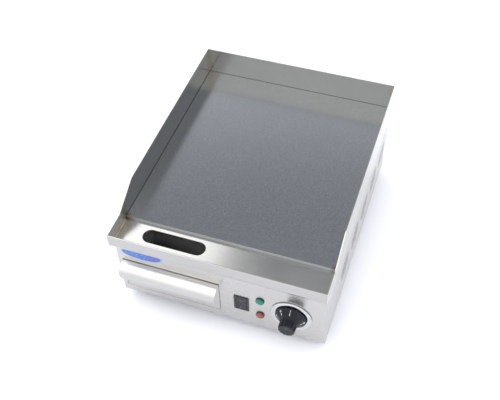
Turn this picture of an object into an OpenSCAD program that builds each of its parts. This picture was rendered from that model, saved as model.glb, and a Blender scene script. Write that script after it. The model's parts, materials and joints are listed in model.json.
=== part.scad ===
// Electric countertop griddle with a splash guard, a grease trough and a grease drawer.
// Origin: centre of the overall box, on the worktop. +X right, +Y towards the back, +Z up.
// Inside the modules, y = 0 is the outer face of the front lip.

/* [Top] */
// Overall width of the splash guard
pan_w = 400; // [370:1:520]
// Depth from the front lip to the back of the splash guard
pan_d = 503; // [460:1:600]
// Height of the cooking surface above the worktop
plate_z = 182.5; // [180:0.5:230]
// Height of the splash guard above the cooking surface
guard_h = 58; // [35:1:90]
// Height of the front lip above the cooking surface
lip_h = 24.7; // [16:0.1:32]
// Sheet thickness of the guard and the trough
pan_t = 1.5; // [1:0.1:2]
// Thickness of the griddle plate
plate_t = 10; // [8:0.5:14]
// Distance from the lip to the front edge of the plate
trough_d = 71; // [70:1:90]
// Depth of the trough floor below the cooking surface
trough_drop = 6.8; // [5:0.1:8]
// Length of the drain slot
slot_l = 120; // [80:1:130]
// Width of the drain slot
slot_w = 30; // [20:1:34]

/* [Body] */
// Sheet thickness of the body panels
body_t = 1.2; // [0.8:0.1:1.5]
// Clear height under the body, which is the height of the feet
foot_h = 25; // [18:1:34]
// Distance from the lip to the front panel
panel_set = 18; // [14:0.5:19]
// Distance from the back of the guard to the rear panel
rear_set = 12; // [8:0.5:20]
// Diameter of a rubber foot
foot_d = 36; // [28:1:40]
// Diameter of one vent group
vent_d = 58; // [40:1:62]
// Distance between vent groups
vent_pitch = 76; // [70:1:78]

/* [Drawer] */
// Width of the panel section to the right of the drawer opening
control_w = 200.8; // [195:0.1:215]
// Width of the panel to the left of the drawer opening
bay_margin = 8.8; // [6:0.1:20]
// Top of the drawer opening above the worktop
bay_top = 123.5; // [110:0.5:126]
// Bottom of the drawer opening above the worktop
bay_low = 41.4; // [38:0.1:50]
// Depth of the grease tray
tray_d = 180; // [140:1:220]
// Reach of the rolled handle in front of the panel
handle_out = 25; // [20:0.5:30]
// Drop of the rolled handle below its top face
handle_drop = 26.5; // [18:0.5:34]
// Gap around the drawer front
drawer_gap = 0.8; // [0.6:0.1:1.2]

/* [Controls] */
// Diameter of the dial bezel
bezel_d = 77; // [66:1:93]
// Diameter of the knob's skirt
skirt_d = 58.6; // [48:0.2:62]
// Diameter of the knob's grip
grip_d = 32; // [26:0.5:36]
// Reach of the knob in front of the panel
knob_out = 33; // [28:0.5:40]
// Diameter of the thermostat shaft
shaft_d = 6; // [5:0.5:8]
// Width of the switch bezel
switch_w = 28.4; // [26:0.2:34]
// Height of the switch bezel
switch_h = 39.2; // [36:0.2:46]
// Angle between the two positions of the rocker
rocker_swing = 16; // [12:0.5:20]
// Diameter of a lamp bezel
lamp_d = 16.4; // [14:0.2:18]
// Length of a push-on terminal tab
tab_l = 8; // [6:0.5:9]

/* [Fits] */
// Radial running clearance of a shaft in its hole
run_fit = 0.05; // [0.02:0.01:0.09]
// Radial clearance of a fixed screw or stud in its hole
screw_fit = 0.3; // [0.2:0.05:0.5]
// Clearance of a sliding or loosely seated part
slide_gap = 0.3; // [0.2:0.05:0.5]

/* [Hidden] */
$fn = 48;

// Colours
STEEL = [0.78, 0.78, 0.77];
INNER = [0.62, 0.63, 0.63];
PLATE = [0.40, 0.42, 0.44];
BLACK = [0.06, 0.06, 0.07];
BRASS = [0.78, 0.62, 0.30];
GLAND = [0.12, 0.12, 0.13];

// Overall box
knob_reach = knob_out - panel_set;
gland_out = 23;
rear_y = pan_d - rear_set;
lip_y = knob_reach - (knob_reach + max(pan_d, rear_y + gland_out)) / 2;

// Top
half_w = pan_w / 2;
in_w = half_w - pan_t;
guard_z = plate_z + guard_h;
lip_z = plate_z + lip_h;
plate_low = plate_z - plate_t;
floor_z = plate_z - trough_drop;
floor_low = floor_z - pan_t;
lip_bend = 10;
slope_top_y = 112;
slope_end_y = 51;
slope_bend = 14;
hem = 1.5;

// Body
side_x = half_w - 0.6;
side_in = side_x - body_t;
front_in = panel_set + body_t;
rear_in = rear_y - body_t;
guard_low = plate_z - 22.5;
flange = 15;
front_flange = 8;
pan_flange = 14;
corner_gap = 16;
foot_web = 8;
base_low = foot_h;
base_top = base_low + body_t;
vent_z = 97;
vent_count = 5;
vent_y0 = (panel_set + rear_y) / 2 + 42.5 - vent_pitch * 2;
slot_cut = 4.5;
slot_step = 10.5;

// Fasteners
thread_gap = 0.2;
m6_head = 11;
m5_head = 9;
m4_head = 7;
m5_nut_h = 4;
hex_m6 = 10;
m6 = 6;
m5 = 5;
m4 = 4;
hex_ratio = 1 / cos(30);
m8 = 8;
flange_mid = flange / 2;
screw_x = side_in - flange_mid;
base_screw_y = [80, rear_in / 2 + 35, rear_in - 80];
pan_bolt_y = [120, pan_d / 2 + 28, pan_d - 63];
pan_bolt_x = half_w - pan_t - 7;
foot_x = side_x - 38;
foot_y = [panel_set + 42, rear_y - 42];
rear_bolt_x = half_w / 2;

// Heating
element_d = 8;
element_pitch = 40;
element_x = (half_w - 10) / 2;
bend_r = element_pitch / 2;
heat_gap = 0.1;
element_z = plate_low - heat_gap - element_d / 2;
front_bend_y = trough_d + 49;
rear_bend_y = pan_d - 73;
terminal_y = pan_d - 50;
drop_r = 12;
terminal_z = element_z - drop_r - 10;
pin_l = 9;
bar_y = [150, pan_d / 2 + 28, pan_d - 93];
bar_x = half_w - 28;
bar_t = 2;
bar_w = 20;
bar_top = element_z - element_d / 2 - heat_gap;
bar_low = bar_top - bar_t;
stud_x = [-element_x, 0, element_x];
nut_h = 5;
wool_top = bar_low - nut_h - 0.3;
wool_low = wool_top - 18;
shield_low = wool_low - body_t;
shield_x = half_w - 18;
shield_y = [92, pan_d - 60];
stud_low = shield_low - nut_h - 2.5;
bulb_d = 6;
bulb_z = plate_low - heat_gap - bulb_d / 2;
bulb_x = 14;
thermo_bulb_y = [175, 262];
limit_bulb_y = [bar_y[2] - 100, bar_y[2] - 25];
capillary_d = 2;
lead_d = 3;

// Drawer
bay_right = side_x - control_w;
bay_left = bay_margin - side_x;
drawer_left = bay_left + drawer_gap;
drawer_right = bay_right - drawer_gap;
drawer_low = bay_low + drawer_gap;
drawer_top = bay_top - 2;
tray_t = 1;
tray_left = drawer_left + 3;
tray_right = drawer_right - 3;
tray_low = drawer_low + 4;
tray_top = bay_top - 12;
tray_back = front_in + tray_d;
handle_straight = 3;
handle_bend = min(handle_out, handle_drop) - handle_straight;
handle_corner = 10;
runner_t = 1.2;
runner_lap = 10;
rivet_d = 4;
rivet_x = [tray_left + 30, tray_right - 30];
rivet_z = [tray_low + 12, tray_top - 12];
divider_x = bay_right + 3.4;
divider_top = stud_low - 2;
slot_x = (bay_left + bay_right) / 2 + 2;
slot_y = trough_d - 25.7;
chute_low = bay_top + 11.5;

// Controls
knob_x = half_w - 65.2;
knob_z = 87.3;
bezel_t = 3;
bezel_y = panel_set - bezel_t;
skirt_y = bezel_y - 0.5;
skirt_rim = 2;
cone_d = 10;
knob_end = panel_set - knob_out;
thermo_d = 40;
thermo_back = front_in + 30;
thermo_screw = 14;
screw_head = 1.6;
shaft_hole = shaft_d + 4;
shaft_in = 22;
knob_socket = 8;
tab_w = 6;
tab_t = 1;
tab_x = 12;
tab_z = 8;
switch_x = half_w - 159.6;
switch_z = 83.9;
switch_back = front_in + 27;
bezel_lip = 2;
switch_box_w = switch_w - 4.6;
switch_box_h = switch_h - 5.4;
switch_tab_x = 6;
switch_tab_z = [-9, 6];
rocker_w = switch_w - 8;
rocker_h = switch_h - 10.4;
rocker_gap = 0.4;
pivot_d = 3;
pivot_off = 3;
pivot_y = panel_set - bezel_lip + pivot_off;
lamp_x = half_w - 124;
green_z = 106;
amber_z = 62;
lens_d = lamp_d - 3.6;
lens_out = 5.6;
lens_seat = 0.6;
lamp_rim = 1.8;
barrel_d = 12;
barrel_l = 22;
badge_x = 50.5 - half_w;
badge_z = 149;
badge_w = 83;
badge_h = 28;
badge_t = 0.8;

// Rear fittings
gland_x = half_w - 70;
gland_z = 62;
gland_d = 20;
gland_bore = 10;
earth_x = half_w - 32;
earth_z = 48;
earth_collar = 5;
earth_pin_l = 13;
limit_x = 80 - half_w;
limit_z = 90;
limit_box = [36, 36, 28];
limit_neck_d = 10;
reset_d = 6;
reset_out = 9;
reset_seat = 12;
reset_travel = 2;
block_x = half_w - 104;
block_y = rear_in - 55;
block_top = base_top + 20;
block_screw = 22;
pole_pitch = 11;
pole_z = base_top + 12;

// Shared shapes ------------------------------------------------------------

// Moves children from the lip's frame to the object's frame
module from_lip() {
    translate([0, lip_y, 0]) children();
}

// Extrudes a (y, z) outline along x
module along_x(x0, x1) {
    translate([x0, 0, 0]) rotate([90, 0, 90]) linear_extrude(x1 - x0) children();
}

// Extrudes a (x, z) outline along y
module along_y(y0, y1) {
    translate([0, y1, 0]) rotate([90, 0, 0]) linear_extrude(y1 - y0) children();
}

// Box given by its lowest and highest corners
module span(low, high) {
    translate(low) cube(high - low);
}

// Round bar from y0 to y1 on the line (x, z)
module rod_y(x, z, y0, y1, d) {
    translate([x, y1, z]) rotate([90, 0, 0]) cylinder(d = d, h = y1 - y0);
}

// Round bar from z0 to z1 on the line (x, y)
module rod_z(x, y, z0, z1, d) {
    translate([x, y, z0]) cylinder(d = d, h = z1 - z0);
}

// Hexagon bar along y, across flats af
module hex_y(x, z, y0, y1, af) {
    translate([x, y1, z]) rotate([90, 0, 0]) cylinder(d = af * hex_ratio, h = y1 - y0, $fn = 6);
}

// Hexagon nut along z with its thread bore
module nut_z(x, y, z0, h, af, d) {
    difference() {
        translate([x, y, z0]) cylinder(d = af * hex_ratio, h = h, $fn = 6);
        rod_z(x, y, z0 - 1, z0 + h + 1, d + thread_gap);
    }
}

// Round-ended slot outline, total length l and width w, along the first axis
module stadium(l, w) {
    square([l - w, w], center = true);
    for (s = [-1, 1]) translate([s * (l - w) / 2, 0]) circle(d = w);
}

// Points of an arc about c
function arc(c, r, a0, a1, n) = [
    for (i = [0:n]) let (a = a0 + (a1 - a0) * i / n) c + r * [cos(a), sin(a)]
];

// Outline of one vent group: upright slots whose ends lie on a circle
module vent_group(d) {
    reach = floor((d / 2 - slot_cut) / slot_step);
    for (i = [-reach:reach]) {
        off = i * slot_step;
        translate([off, 0]) rotate(90) stadium(2 * sqrt(pow(d / 2, 2) - off * off), slot_cut);
    }
}

// Round wire of diameter d swept along points, with 8 sides
function unit(v) = v / norm(v);
function tangent(p, i) = unit(p[min(i + 1, len(p) - 1)] - p[max(i - 1, 0)]);
function turn(n, t) = unit(n - (n * t) * t);
function normals(p, i = 0, n = [0.31, 0.17, 0.94]) =
    i == len(p) ? [] : let (m = turn(n, tangent(p, i))) concat([m], normals(p, i + 1, m));

// Rounds every inner corner of a route with a quarter-like curve of reach r
function rounded(p, r) = [
    for (i = [0:len(p) - 1])
        if (i == 0 || i == len(p) - 1) p[i]
        else let (
            a = p[i] - unit(p[i] - p[i - 1]) * r,
            b = p[i] + unit(p[i + 1] - p[i]) * r
        ) each [for (k = [0:4]) let (s = k / 4) a * pow(1 - s, 2) + p[i] * 2 * s * (1 - s) + b * s * s]
];

module wire(route, d, r) {
    p = rounded(route, r);
    n = normals(p);
    sides = 8;
    last = len(p) - 1;
    points = [
        for (i = [0:last]) let (t = tangent(p, i), b = cross(t, n[i]))
            for (k = [0:sides - 1]) p[i] + d / 2 * (n[i] * cos(360 * k / sides) + b * sin(360 * k / sides))
    ];
    skin = [
        for (i = [0:last - 1]) for (k = [0:sides - 1])
            let (q = (k + 1) % sides, a = i * sides) [a + k, a + sides + k, a + sides + q, a + q]
    ];
    ends = [[for (k = [0:sides - 1]) k], [for (k = [sides - 1:-1:0]) last * sides + k]];
    polyhedron(points, concat(skin, ends));
}

// Top ----------------------------------------------------------------------

module griddle_plate() {
    color(PLATE) from_lip()
        span([-in_w, trough_d, plate_low], [in_w, pan_d - pan_t, plate_z]);
}

// Side outline of the guard, from the lip to the back
module guard_outline() {
    rise = atan2(guard_z - lip_z, slope_top_y - slope_end_y);
    set = slope_bend * tan(rise / 2);
    polygon(concat(
        [[0, lip_z], [0, floor_low + lip_bend]],
        arc([lip_bend, floor_low + lip_bend], lip_bend, 180, 270, 8),
        [[panel_set, floor_low], [panel_set, guard_low], [pan_d, guard_low], [pan_d, guard_z]],
        arc([slope_top_y + set, guard_z - slope_bend], slope_bend, 90, 90 + rise, 6),
        arc([slope_end_y - set, lip_z + slope_bend], slope_bend, rise - 90, -90, 6)
    ));
}

module splash_guard() {
    color(STEEL) from_lip() difference() {
        union() {
            for (x = [-half_w, in_w]) along_x(x, x + pan_t) guard_outline();
            span([-half_w, pan_d - pan_t, guard_low], [half_w, pan_d, guard_z]);
            for (s = [-1, 1])
                span([s > 0 ? in_w - pan_flange : -in_w, panel_set + corner_gap, guard_low],
                     [s > 0 ? in_w : -in_w + pan_flange, pan_d - pan_t, guard_low + pan_t]);
            span([-in_w, rear_in - flange, guard_low], [in_w, pan_d - pan_t, guard_low + pan_t]);
        }
        pan_bolt_places() rod_z(0, 0, guard_low - 1, guard_low + pan_t + 1, m5 + 2 * screw_fit);
    }
}

module grease_trough() {
    outer = arc([lip_bend, floor_low + lip_bend], lip_bend, 180, 270, 10);
    inner = arc([lip_bend, floor_low + lip_bend], lip_bend - pan_t, 270, 180, 10);
    color(STEEL) from_lip() difference() {
        union() {
            along_x(-in_w, in_w) polygon(concat(
                [[0, lip_z]], outer, [[trough_d, floor_low], [trough_d, floor_z]], inner, [[pan_t, lip_z]]
            ));
            along_x(-in_w, in_w) translate([hem, lip_z - hem]) circle(r = hem);
        }
        translate([slot_x, slot_y, floor_low - 1]) linear_extrude(pan_t + 2) stadium(slot_l, slot_w);
    }
}

module drain_chute() {
    color(INNER) from_lip() translate([slot_x, slot_y, chute_low]) difference() {
        linear_extrude(floor_low - chute_low) stadium(slot_l + 2 * body_t, slot_w + 2 * body_t);
        translate([0, 0, -1]) linear_extrude(floor_low - chute_low + 2) stadium(slot_l, slot_w);
    }
}

// Body ---------------------------------------------------------------------

module side_panel(s) {
    x_out = s * side_x;
    x_web = s * side_in;
    x_flange = s * (side_in - flange);
    flange_y = [front_in + corner_gap, rear_in - corner_gap];
    color(STEEL) from_lip() difference() {
        union() {
            span([min(x_out, x_web), front_in, base_top], [max(x_out, x_web), rear_in, guard_low]);
            for (z = [base_top, guard_low - body_t])
                span([min(x_web, x_flange), flange_y[0], z], [max(x_web, x_flange), flange_y[1], z + body_t]);
        }
        for (i = [0:vent_count - 1])
            along_x(min(x_out, x_web) - 1, max(x_out, x_web) + 1)
                translate([vent_y0 + i * vent_pitch, vent_z]) vent_group(vent_d);
        for (y = pan_bolt_y)
            rod_z(s * pan_bolt_x, y, guard_low - body_t - 1, guard_low + 1, m5 + 2 * screw_fit);
        for (y = base_screw_y)
            rod_z(s * screw_x, y, base_top - 1, base_top + body_t + 1, m4 + thread_gap);
    }
}

module left_side_panel() {
    side_panel(-1);
}

module right_side_panel() {
    side_panel(1);
}

module rear_panel() {
    color(STEEL) from_lip() difference() {
        union() {
            span([-side_x, rear_in, base_low], [side_x, rear_y, guard_low]);
            for (z = [base_top, guard_low - body_t])
                span([-side_in + corner_gap, rear_in - flange, z],
                     [side_in - corner_gap, rear_in, z + body_t]);
        }
        rod_y(gland_x, gland_z, rear_in - 1, rear_y + 1, gland_d + 2 * screw_fit);
        rod_y(earth_x, earth_z, rear_in - 1, rear_y + 1, m8 + 2 * screw_fit);
        rod_y(limit_x, limit_z, rear_in - 1, rear_y + 1, limit_neck_d + 2 * screw_fit);
        for (i = [-0.5, 0.5])
            along_y(rear_in - 1, rear_y + 1) translate([i * vent_pitch, vent_z]) vent_group(vent_d);
        for (s = [-1, 1]) {
            translate([s * rear_bolt_x, rear_in - flange_mid, 0]) {
                rod_z(0, 0, guard_low - body_t - 1, guard_low + 1, m5 + 2 * screw_fit);
                rod_z(0, 0, base_top - 1, base_top + body_t + 1, m4 + thread_gap);
            }
        }
    }
}

module front_panel() {
    color(STEEL) from_lip() difference() {
        union() {
            span([-side_x, panel_set, base_low], [side_x, front_in, guard_low]);
            span([-in_w, panel_set, guard_low], [in_w, front_in, floor_low]);
            span([-in_w, front_in, floor_low - body_t], [in_w, front_in + front_flange, floor_low]);
            span([-side_in + corner_gap, front_in, base_top],
                 [side_in - corner_gap, front_in + flange, base_top + body_t]);
        }
        span([bay_left, panel_set - 1, bay_low], [bay_right, front_in + 1, bay_top]);
        along_y(panel_set - 1, front_in + 1) translate([switch_x, switch_z])
            square([switch_box_w + 2 * screw_fit, switch_box_h + 2 * screw_fit], center = true);
        for (z = [green_z, amber_z])
            rod_y(lamp_x, z, panel_set - 1, front_in + 1, barrel_d + 2 * screw_fit);
        rod_y(knob_x, knob_z, panel_set - 1, front_in + 1, shaft_hole);
        for (s = [-1, 1]) {
            rod_y(knob_x + s * thermo_screw, knob_z, panel_set - 1, front_in + 1, m4 + 2 * screw_fit);
            translate([s * rear_bolt_x, front_in + flange_mid, 0])
                rod_z(0, 0, base_top - 1, base_top + body_t + 1, m4 + thread_gap);
        }
    }
}

module base_plate() {
    low = base_low - 1;
    top = base_top + 1;
    slot = [70, 5];
    slot_at = [60, 200];
    slot_rows = 4;
    row_pitch = 24;
    color(INNER) from_lip() difference() {
        span([-side_x, front_in, base_low], [side_x, rear_in, base_top]);
        for (s = [-1, 1]) {
            for (y = base_screw_y) rod_z(s * screw_x, y, low, top, m4 + 2 * screw_fit);
            for (y = foot_y) rod_z(s * foot_x, y, low, top, m6 + 2 * screw_fit);
            for (y = [front_in + flange_mid, rear_in - flange_mid])
                rod_z(s * rear_bolt_x, y, low, top, m4 + 2 * screw_fit);
            for (i = [0:slot_rows - 1])
                translate([s * slot_at[0], slot_at[1] + i * row_pitch, low])
                    linear_extrude(top - low) stadium(slot[0], slot[1]);
            rod_z(block_x + s * block_screw, block_y, low, top, m4 + 2 * screw_fit);
        }
    }
}

// Feet and fasteners -------------------------------------------------------

module foot(sx, i) {
    toe = 4;
    toe_d = foot_d - 2;
    recess_d = 14;
    color(BLACK) from_lip() translate([sx * foot_x, foot_y[i], 0]) difference() {
        union() {
            cylinder(d1 = foot_d - 5, d2 = toe_d, h = toe);
            translate([0, 0, toe]) cylinder(d1 = toe_d, d2 = foot_d, h = foot_h - toe);
        }
        translate([0, 0, -1]) cylinder(d = recess_d, h = foot_h - foot_web + 1);
        cylinder(d = m6 + 2 * screw_fit, h = foot_h + 1);
    }
}

module foot_front_left() {
    foot(-1, 0);
}

module foot_front_right() {
    foot(1, 0);
}

module foot_rear_left() {
    foot(-1, 1);
}

module foot_rear_right() {
    foot(1, 1);
}

module foot_places() {
    for (s = [-1, 1]) for (y = foot_y) translate([s * foot_x, y, 0]) children();
}

module foot_bolts() {
    head_top = foot_h - foot_web;
    color(STEEL) from_lip() foot_places() {
        rod_z(0, 0, head_top, base_top + nut_h + 2, m6);
        rod_z(0, 0, head_top - 4, head_top, m6_head);
    }
}

module foot_nuts() {
    color(STEEL) from_lip() foot_places() nut_z(0, 0, base_top, nut_h, hex_m6, m6);
}

module base_screw(x, y) {
    head_h = 2;
    rod_z(x, y, base_low, base_top + body_t + 5, m4);
    translate([x, y, base_low - head_h]) cylinder(d1 = m4_head - 1, d2 = m4_head + 0.6, h = head_h);
}

module base_screws() {
    color(STEEL) from_lip() for (s = [-1, 1]) {
        for (y = base_screw_y) base_screw(s * screw_x, y);
        for (y = [front_in + flange_mid, rear_in - flange_mid]) base_screw(s * rear_bolt_x, y);
    }
}

module pan_bolt_places() {
    for (s = [-1, 1]) {
        for (y = pan_bolt_y) translate([s * pan_bolt_x, y, 0]) children();
        translate([s * rear_bolt_x, rear_in - flange_mid, 0]) children();
    }
}

module pan_bolts() {
    seat = guard_low + pan_t;
    color(STEEL) from_lip() pan_bolt_places() {
        rod_z(0, 0, guard_low - body_t - m5_nut_h - 2, seat, m5);
        rod_z(0, 0, seat, seat + 3.5, m5_head);
    }
}

module pan_nuts() {
    color(STEEL) from_lip() pan_bolt_places()
        nut_z(0, 0, guard_low - body_t - m5_nut_h, m5_nut_h, 8, m5);
}

// Heating ------------------------------------------------------------------

// Half ring in the horizontal plane, opening towards +y or -y
module u_bend(x, y, towards_front) {
    translate([x, y, element_z]) rotate([0, 0, towards_front ? 180 : 0])
        rotate_extrude(angle = 180) translate([bend_r, 0]) circle(d = element_d);
}

// Quarter bend from +y down to -z, then the straight terminal leg and its pin
module element_leg(x) {
    translate([x, terminal_y, element_z - drop_r]) rotate([90, 0, 90])
        rotate_extrude(angle = 90) translate([drop_r, 0]) circle(d = element_d);
    rod_z(x, terminal_y + drop_r, terminal_z, element_z - drop_r, element_d);
    rod_z(x, terminal_y + drop_r, terminal_z - pin_l, terminal_z, 4);
}

module heating_element(xc) {
    x = [for (i = [0:3]) xc + (i - 1.5) * element_pitch];
    color(INNER) from_lip() union() {
        for (i = [0, 3]) rod_y(x[i], element_z, front_bend_y, terminal_y, element_d);
        for (i = [1, 2]) rod_y(x[i], element_z, front_bend_y, rear_bend_y, element_d);
        u_bend(x[0] + bend_r, front_bend_y, true);
        u_bend(x[2] + bend_r, front_bend_y, true);
        u_bend(x[1] + bend_r, rear_bend_y, false);
        for (i = [0, 3]) element_leg(x[i]);
    }
}

module heating_element_left() {
    heating_element(-element_x);
}

module heating_element_right() {
    heating_element(element_x);
}

module stud_places() {
    for (x = stud_x) for (y = bar_y) translate([x, y, 0]) children();
}

module clamp_bars() {
    color(INNER) from_lip() difference() {
        for (y = bar_y) span([-bar_x, y - bar_w / 2, bar_low], [bar_x, y + bar_w / 2, bar_top]);
        stud_places() rod_z(0, 0, bar_low - 1, bar_top + 1, m6 + 2 * screw_fit);
    }
}

module plate_studs() {
    color(STEEL) from_lip() stud_places() rod_z(0, 0, stud_low, plate_low, m6);
}

module clamp_nuts() {
    color(STEEL) from_lip() stud_places() nut_z(0, 0, bar_low - nut_h, nut_h, hex_m6, m6);
}

module insulation_blanket() {
    wall = body_t + slide_gap;
    color([0.86, 0.84, 0.78]) from_lip() difference() {
        span([-shield_x + wall, shield_y[0], wool_low], [shield_x - wall, shield_y[1], wool_top]);
        stud_places() rod_z(0, 0, wool_low - 1, wool_top + 1, m6 + 2);
    }
}

module heat_shield() {
    color(INNER) from_lip() difference() {
        union() {
            span([-shield_x, shield_y[0], shield_low], [shield_x, shield_y[1], wool_low]);
            for (s = [-1, 1])
                span([s > 0 ? shield_x - body_t : -shield_x, shield_y[0], wool_low],
                     [s > 0 ? shield_x : -shield_x + body_t, shield_y[1], wool_top]);
        }
        stud_places() rod_z(0, 0, shield_low - 1, wool_low + 1, m6 + 2 * screw_fit);
    }
}

module shield_nuts() {
    color(STEEL) from_lip() stud_places() nut_z(0, 0, shield_low - nut_h, nut_h, hex_m6, m6);
}

// Sensing bulbs and their capillaries --------------------------------------

module thermostat_bulb() {
    drop_y = shield_y[0] - 8;
    hop_z = divider_top + 4;
    route = [
        [bulb_x, thermo_bulb_y[0] + 1, bulb_z], [bulb_x, drop_y, bulb_z], [bulb_x, drop_y, hop_z],
        [knob_x, drop_y, hop_z], [knob_x, drop_y - 14, knob_z], [knob_x, thermo_back, knob_z]
    ];
    color(BRASS) from_lip() {
        rod_y(bulb_x, bulb_z, thermo_bulb_y[0], thermo_bulb_y[1], bulb_d);
        wire(route, capillary_d, 6);
    }
}

module limiter_bulb() {
    drop_y = shield_y[1] + 9;
    route = [
        [bulb_x, limit_bulb_y[1] - 1, bulb_z], [bulb_x, drop_y, bulb_z], [bulb_x, drop_y, 128],
        [limit_x, drop_y - 4, 120], [limit_x, drop_y - 12, limit_z],
        [limit_x, rear_in - limit_box[1], limit_z]
    ];
    color(BRASS) from_lip() {
        rod_y(bulb_x, bulb_z, limit_bulb_y[0], limit_bulb_y[1], bulb_d);
        wire(route, capillary_d, 5);
    }
}

module bulb_clips() {
    arm = bulb_d / 2 + 0.2;
    color(STEEL) from_lip()
        for (y = [thermo_bulb_y[0] + 20, thermo_bulb_y[1] - 20, limit_bulb_y[0] + 15, limit_bulb_y[1] - 15])
            translate([bulb_x, y, 0]) difference() {
                span([-arm - 1, -5, bulb_z - arm - 1], [arm + 1, 5, plate_low]);
                along_y(-6, 6) {
                    translate([0, bulb_z]) circle(r = arm);
                    translate([-arm, bulb_z]) square([2 * arm, plate_low - bulb_z + 1]);
                }
            }
}

// Thermostat and knob ------------------------------------------------------

module thermostat_body() {
    base = [42, 4, 32];
    color(BLACK) from_lip() difference() {
        union() {
            span([knob_x - base[0] / 2, front_in, knob_z - base[2] / 2],
                 [knob_x + base[0] / 2, front_in + base[1], knob_z + base[2] / 2]);
            rod_y(knob_x, knob_z, front_in + base[1], thermo_back, thermo_d);
            for (s = [-1, 1]) translate([knob_x + s * tab_x, thermo_back, knob_z + tab_z])
                span([-tab_w / 2, 0, 0], [tab_w / 2, tab_l, tab_t]);
        }
        rod_y(knob_x, knob_z, front_in - 1, front_in + shaft_in, shaft_d + 2 * run_fit);
        for (s = [-1, 1])
            rod_y(knob_x + s * thermo_screw, knob_z, front_in - 1, front_in + 9, m4 + thread_gap);
    }
}

module thermostat_screws() {
    color(STEEL) from_lip() for (s = [-1, 1]) {
        rod_y(knob_x + s * thermo_screw, knob_z, panel_set, front_in + 8, m4);
        rod_y(knob_x + s * thermo_screw, knob_z, panel_set - screw_head, panel_set, m4_head);
    }
}

module thermostat_shaft() {
    color(STEEL) from_lip() rod_y(knob_x, knob_z, knob_end + knob_socket, front_in + shaft_in - 0.5, shaft_d);
}

module dial_bezel() {
    edge = bezel_t / 2;
    color([0.86, 0.86, 0.85]) from_lip() difference() {
        union() {
            rod_y(knob_x, knob_z, bezel_y, panel_set, bezel_d - bezel_t);
            translate([knob_x, panel_set - edge, knob_z]) rotate([90, 0, 0])
                rotate_extrude() translate([bezel_d / 2 - edge, 0]) circle(r = edge);
        }
        rod_y(knob_x, knob_z, bezel_y - 1, panel_set + 1, shaft_hole + 2);
        for (s = [-1, 1])
            rod_y(knob_x + s * thermo_screw, knob_z, bezel_y + 0.8, panel_set + 1, m4_head + 2 * screw_fit);
    }
}

module control_knob() {
    grip_y = skirt_y - skirt_rim - cone_d;
    flutes = 12;
    flute_d = 6;
    flute_depth = 1.4;
    color(BLACK) from_lip() translate([knob_x, 0, knob_z]) difference() {
        union() {
            rod_y(0, 0, skirt_y - skirt_rim, skirt_y, skirt_d);
            translate([0, skirt_y - skirt_rim, 0]) rotate([90, 0, 0])
                cylinder(d1 = skirt_d - 2, d2 = grip_d + 2, h = cone_d);
            rod_y(0, 0, knob_end + 1, grip_y, grip_d);
            translate([0, knob_end + 1, 0]) rotate([90, 0, 0]) cylinder(d1 = grip_d, d2 = grip_d - 2, h = 1);
        }
        rod_y(0, 0, knob_end + knob_socket, skirt_y + 1, shaft_d);
        for (i = [0:flutes - 1]) rotate([0, 360 * i / flutes, 0])
            rod_y((grip_d + flute_d) / 2 - flute_depth, 0, knob_end - 1, grip_y - 0.5, flute_d);
    }
}

// Switch -------------------------------------------------------------------

module switch_housing() {
    well = 13;
    win_w = rocker_w + 2 * rocker_gap;
    win_h = rocker_h + 2 * rocker_gap;
    color(BLACK) from_lip() translate([switch_x, 0, switch_z]) difference() {
        union() {
            span([-switch_w / 2, panel_set - bezel_lip, -switch_h / 2],
                 [switch_w / 2, panel_set, switch_h / 2]);
            span([-switch_box_w / 2, panel_set, -switch_box_h / 2],
                 [switch_box_w / 2, switch_back, switch_box_h / 2]);
            for (s = [-1, 1]) for (z = switch_tab_z) translate([s * switch_tab_x, switch_back, z])
                span([-tab_w / 2, 0, 0], [tab_w / 2, tab_l, tab_t]);
        }
        span([-win_w / 2, panel_set - bezel_lip - 1, -win_h / 2], [win_w / 2, panel_set + well, win_h / 2]);
        translate([-switch_box_w / 2 - 1, pivot_y, 0]) rotate([0, 90, 0])
            cylinder(d = pivot_d + 2 * run_fit, h = switch_box_w + 2);
    }
}

// The rocker's upper half is pressed in, so its lower half stands out
module switch_rocker() {
    face_y = pivot_y - pivot_off;
    out = rocker_h / 2 * tan(rocker_swing);
    body = 3.5;
    pin = switch_w / 2 - 2.6;
    color(BLACK) from_lip() translate([switch_x, 0, switch_z]) {
        along_x(-rocker_w / 2, rocker_w / 2) {
            intersection() {
                polygon([
                    [face_y, rocker_h / 2], [face_y, 0], [face_y - out, -rocker_h / 2],
                    [face_y - out + body, -rocker_h / 2], [pivot_y + 2, -4], [pivot_y + 2, 4],
                    [face_y + body, rocker_h / 2]
                ]);
                translate([pivot_y, 0]) circle(r = rocker_h / 2);
            }
        }
        translate([-pin, pivot_y, 0]) rotate([0, 90, 0]) cylinder(d = pivot_d, h = 2 * pin);
    }
}

// Lamps --------------------------------------------------------------------

module lamp_body(z) {
    pin = [3, 7, 0.8];
    color(BLACK) from_lip() difference() {
        union() {
            rod_y(lamp_x, z, panel_set - lamp_rim, panel_set, lamp_d);
            rod_y(lamp_x, z, panel_set, front_in + barrel_l, barrel_d);
            for (s = [-1, 1]) translate([lamp_x + s * 3, front_in + barrel_l, z])
                span([-pin[0] / 2, 0, -pin[2] / 2], [pin[0] / 2, pin[1], pin[2] / 2]);
        }
        rod_y(lamp_x, z, panel_set - lamp_rim - 1, panel_set + 8, lens_d - 2.6);
        rod_y(lamp_x, z, panel_set - lamp_rim - 1, panel_set - lens_seat, lens_d);
    }
}

module lamp_lens(z, c) {
    r = lens_d / 2;
    rise = lens_out - 2;
    dome_r = (r * r + rise * rise) / (2 * rise);
    dome_z = lens_out - lens_seat - dome_r;
    color(c) from_lip() translate([lamp_x, panel_set - lens_seat, z]) rotate([90, 0, 0]) rotate_extrude()
        polygon(concat([[0, 0], [r, 0]], arc([0, dome_z], dome_r, asin((dome_r - rise) / dome_r), 90, 10)));
}

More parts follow.
